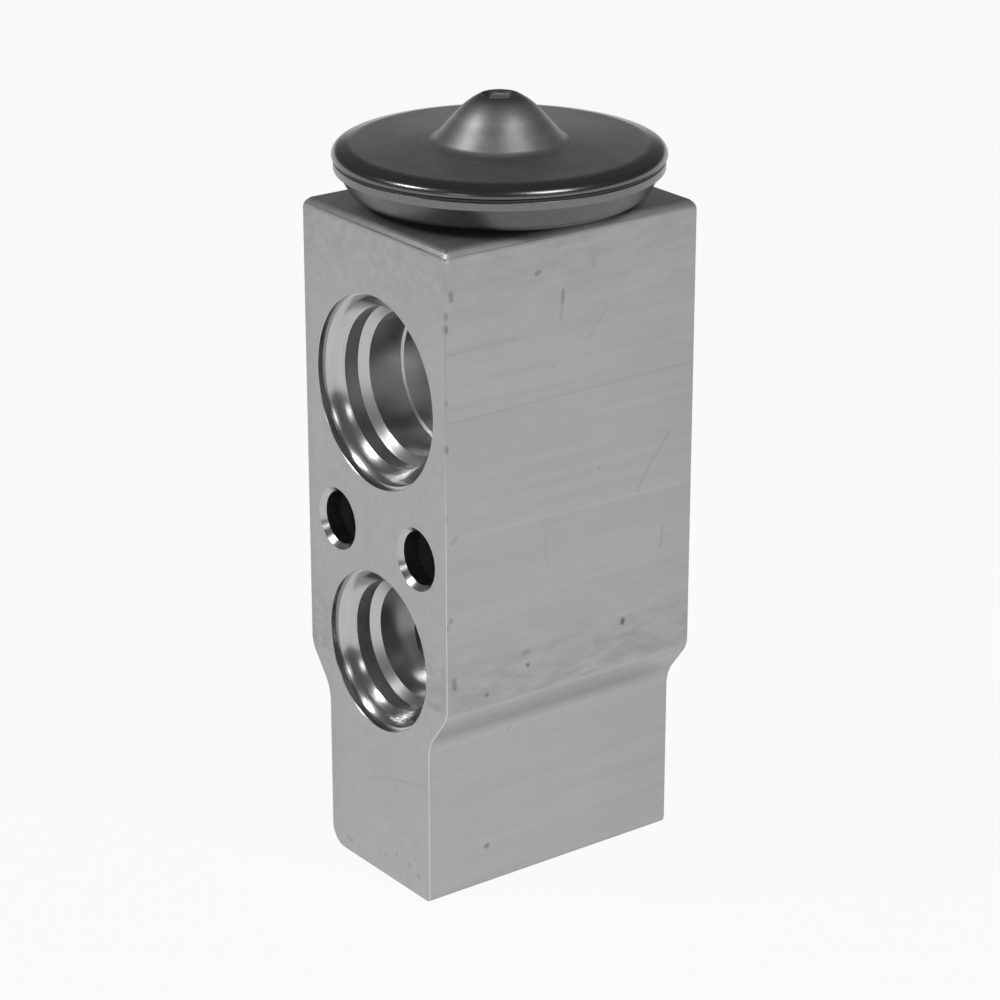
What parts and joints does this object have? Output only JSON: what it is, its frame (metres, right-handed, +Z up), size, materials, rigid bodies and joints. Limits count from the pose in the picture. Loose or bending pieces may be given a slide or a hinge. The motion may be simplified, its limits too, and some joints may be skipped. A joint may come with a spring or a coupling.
{
  "type": "thermostatic expansion valve",
  "caption": "Block-type refrigerant expansion valve: aluminium body with stepped ports and clamp screw holes, welded diaphragm head, ball valve train and adjusting screw.",
  "frame": {"origin": "middle of the block's underside, on the valve's axis", "axes": "X across the block, +Y from the port face with the liquid inlet to the one with the liquid outlet, +Z up the valve's axis to the head"},
  "size_m": [0.0384, 0.0384, 0.0934],
  "materials": {
    "block_aluminium": "extruded and milled",
    "cover_steel": "pressed stainless, satin",
    "weld_steel": "weld seam",
    "plug_steel": "bright",
    "diaphragm_steel": "thin rolled sheet",
    "rod_aluminium": "turned",
    "train_steel": "turned and ground",
    "spring_steel": "drawn wire and strip",
    "screw_brass": "turned",
    "seal_rubber": "moulded"
  },
  "bodies": {
    "block": {"valve_body": "block_aluminium", "upper_cover": "cover_steel", "charge_plug": "plug_steel", "rim_weld": "weld_steel", "diaphragm": "diaphragm_steel", "lower_cover": "cover_steel", "head_gasket": "seal_rubber", "rod_seal": "seal_rubber", "seal_retainer": "train_steel", "valve_seat": "train_steel"},
    "valve_train": {"diaphragm_support": "rod_aluminium", "sensing_rod": "rod_aluminium", "push_rod": "train_steel", "valve_ball": "train_steel", "ball_carrier": "train_steel", "vibration_clip": "spring_steel"},
    "spring_carrier": {"spring_seat": "screw_brass", "valve_spring": "spring_steel"},
    "screw": {"adjusting_screw": "screw_brass", "screw_seal": "seal_rubber"}
  },
  "joints": [
    {"name": "valve_stroke", "type": "slide", "parent": "block", "child": "valve_train", "axis": [0, 0, -1], "range_m": [0, 0.0008], "stiffness_N_per_m": 1000, "springref_m": -0.0005, "deforming": ["valve_spring", "diaphragm"]},
    {"name": "adjusting_travel", "type": "slide", "parent": "block", "child": "spring_carrier", "axis": [0, 0, 1], "range_m": [-0.00076, 0.00076]},
    {"name": "screw_turn", "type": "hinge", "parent": "spring_carrier", "child": "screw", "pos_m": [0, 0, 0.00865], "axis": [0, 0, 1], "range_deg": [-270, 270]}
  ],
  "couplings": [
    {"joint": "adjusting_travel", "follows": "screw_turn", "m_per_rad": 0.00015915}
  ]
}
